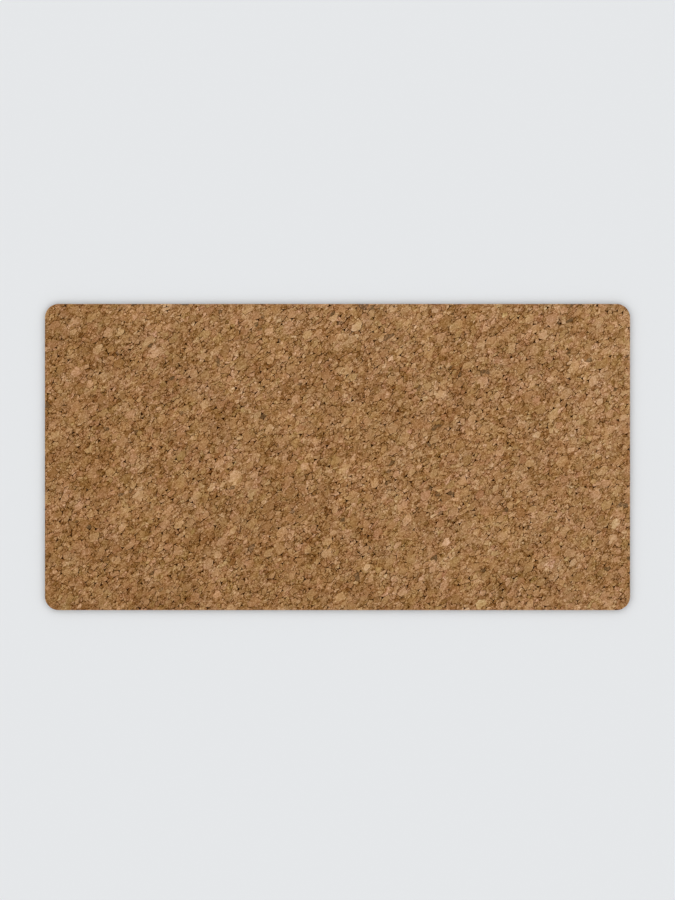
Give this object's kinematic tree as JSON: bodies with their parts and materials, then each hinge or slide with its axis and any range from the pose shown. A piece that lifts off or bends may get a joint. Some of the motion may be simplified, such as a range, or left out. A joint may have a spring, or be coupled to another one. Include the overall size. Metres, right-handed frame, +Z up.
{
  "type": "desk mat",
  "caption": "Thin rectangular desk mat with rounded corners: a granulated cork work surface bonded over a woven scrim to an anti-slip sponge-rubber base.",
  "frame": {"origin": "centre of the flat underside, on the desk", "axes": "+X along the length, +Z up out of the work surface, -Y towards the person at the desk"},
  "size_m": [0.6, 0.314, 0.004],
  "materials": {
    "rubber": "matte",
    "adhesive": "satin",
    "scrim": "matte",
    "cork": "matte"
  },
  "bodies": {
    "root": {"rubber_base": "rubber", "base_adhesive": "adhesive", "textile_scrim": "scrim", "facing_adhesive": "adhesive", "cork_sheet": "cork"}
  },
  "joints": []
}
